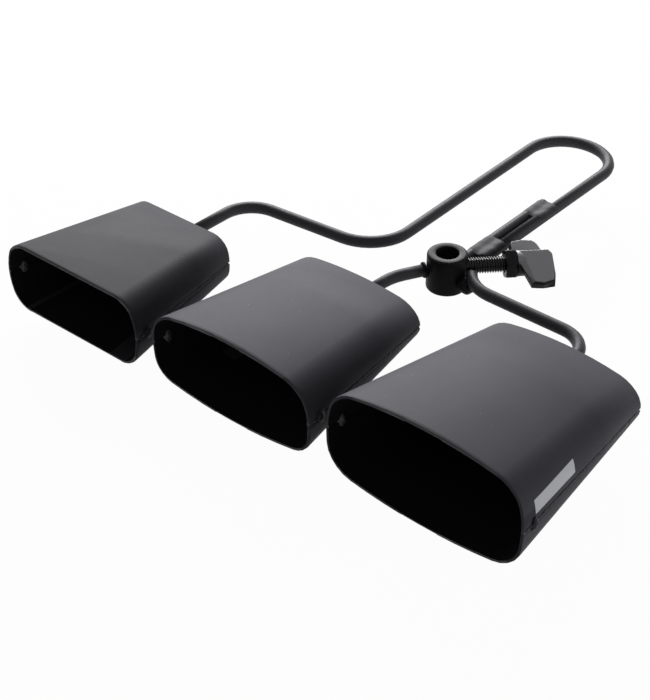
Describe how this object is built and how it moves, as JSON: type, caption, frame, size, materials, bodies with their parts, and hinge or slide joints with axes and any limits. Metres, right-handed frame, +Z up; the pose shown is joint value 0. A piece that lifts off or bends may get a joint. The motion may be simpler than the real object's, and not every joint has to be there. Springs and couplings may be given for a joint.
{
  "type": "triple cowbell",
  "caption": "Graduated flat-sided steel bells welded to bent round rod, with a clamp boss and wing bolt that hold them on an upright rod.",
  "frame": {"origin": "on the axis of the clamp boss's bore, level with the middle of the bent rods", "axes": "+Z up along the boss's bore, +Y from the bells' open mouths towards their crowns and the rod's loop, +X from the smallest bell towards the largest"},
  "size_m": [0.2948, 0.2845, 0.0511],
  "materials": {
    "small_bell_upper_shell": "satin black coat",
    "small_bell_lower_shell": "satin black coat",
    "small_bell_crown_plate": "satin black coat",
    "small_bell_left_seam_weld": "satin black coat over weld",
    "small_bell_right_seam_weld": "satin black coat over weld",
    "small_bell_rod_weld": "satin black coat over weld",
    "middle_bell_upper_shell": "satin black coat",
    "middle_bell_lower_shell": "satin black coat",
    "middle_bell_crown_plate": "satin black coat",
    "middle_bell_left_seam_weld": "satin black coat over weld",
    "middle_bell_right_seam_weld": "satin black coat over weld",
    "middle_bell_rod_weld": "satin black coat over weld",
    "large_bell_upper_shell": "satin black coat",
    "large_bell_lower_shell": "satin black coat",
    "large_bell_crown_plate": "satin black coat",
    "large_bell_left_seam_weld": "satin black coat over weld",
    "large_bell_right_seam_weld": "satin black coat over weld",
    "large_bell_rod_weld": "satin black coat over weld",
    "long_rod": "satin black coat",
    "large_bell_rod": "satin black coat",
    "middle_bell_rod": "satin black coat",
    "brace_rod": "satin black coat",
    "mounting_boss": "satin black coat",
    "middle_rod_boss_weld": "satin black coat over weld",
    "brace_rod_boss_weld": "satin black coat over weld",
    "large_rod_boss_weld": "satin black coat over weld",
    "brace_front_weld": "satin black coat over weld",
    "brace_rear_weld": "satin black coat over weld",
    "threaded_shank": "blackened, with bright edges",
    "lock_nut": "blackened, with bright edges",
    "wing_head": "satin black coat"
  },
  "bodies": {
    "frame": {"small_bell_upper_shell": "small_bell_upper_shell", "small_bell_lower_shell": "small_bell_lower_shell", "small_bell_crown_plate": "small_bell_crown_plate", "small_bell_left_seam_weld": "small_bell_left_seam_weld", "small_bell_right_seam_weld": "small_bell_right_seam_weld", "small_bell_rod_weld": "small_bell_rod_weld", "middle_bell_upper_shell": "middle_bell_upper_shell", "middle_bell_lower_shell": "middle_bell_lower_shell", "middle_bell_crown_plate": "middle_bell_crown_plate", "middle_bell_left_seam_weld": "middle_bell_left_seam_weld", "middle_bell_right_seam_weld": "middle_bell_right_seam_weld", "middle_bell_rod_weld": "middle_bell_rod_weld", "large_bell_upper_shell": "large_bell_upper_shell", "large_bell_lower_shell": "large_bell_lower_shell", "large_bell_crown_plate": "large_bell_crown_plate", "large_bell_left_seam_weld": "large_bell_left_seam_weld", "large_bell_right_seam_weld": "large_bell_right_seam_weld", "large_bell_rod_weld": "large_bell_rod_weld", "long_rod": "long_rod", "large_bell_rod": "large_bell_rod", "middle_bell_rod": "middle_bell_rod", "brace_rod": "brace_rod", "mounting_boss": "mounting_boss", "middle_rod_boss_weld": "middle_rod_boss_weld", "brace_rod_boss_weld": "brace_rod_boss_weld", "large_rod_boss_weld": "large_rod_boss_weld", "brace_front_weld": "brace_front_weld", "brace_rear_weld": "brace_rear_weld"},
    "wing_bolt_shank": {"threaded_shank": "threaded_shank"},
    "wing_bolt_head": {"wing_head": "wing_head", "lock_nut": "lock_nut"}
  },
  "joints": [
    {"name": "wing_bolt_travel", "type": "slide", "parent": "frame", "child": "wing_bolt_shank", "axis": [-0.7009, -0.7133, 0], "range_m": [-0.00187, 0.00187]},
    {"name": "wing_bolt_turn", "type": "hinge", "parent": "wing_bolt_shank", "child": "wing_bolt_head", "pos_m": [0.02944, 0.02996, 0.0015], "axis": [-0.7009, -0.7133, 0], "range_deg": [-540.5, 540.5]}
  ],
  "couplings": [
    {"joint": "wing_bolt_turn", "follows": "wing_bolt_travel", "rad_per_m": 5026.5}
  ]
}
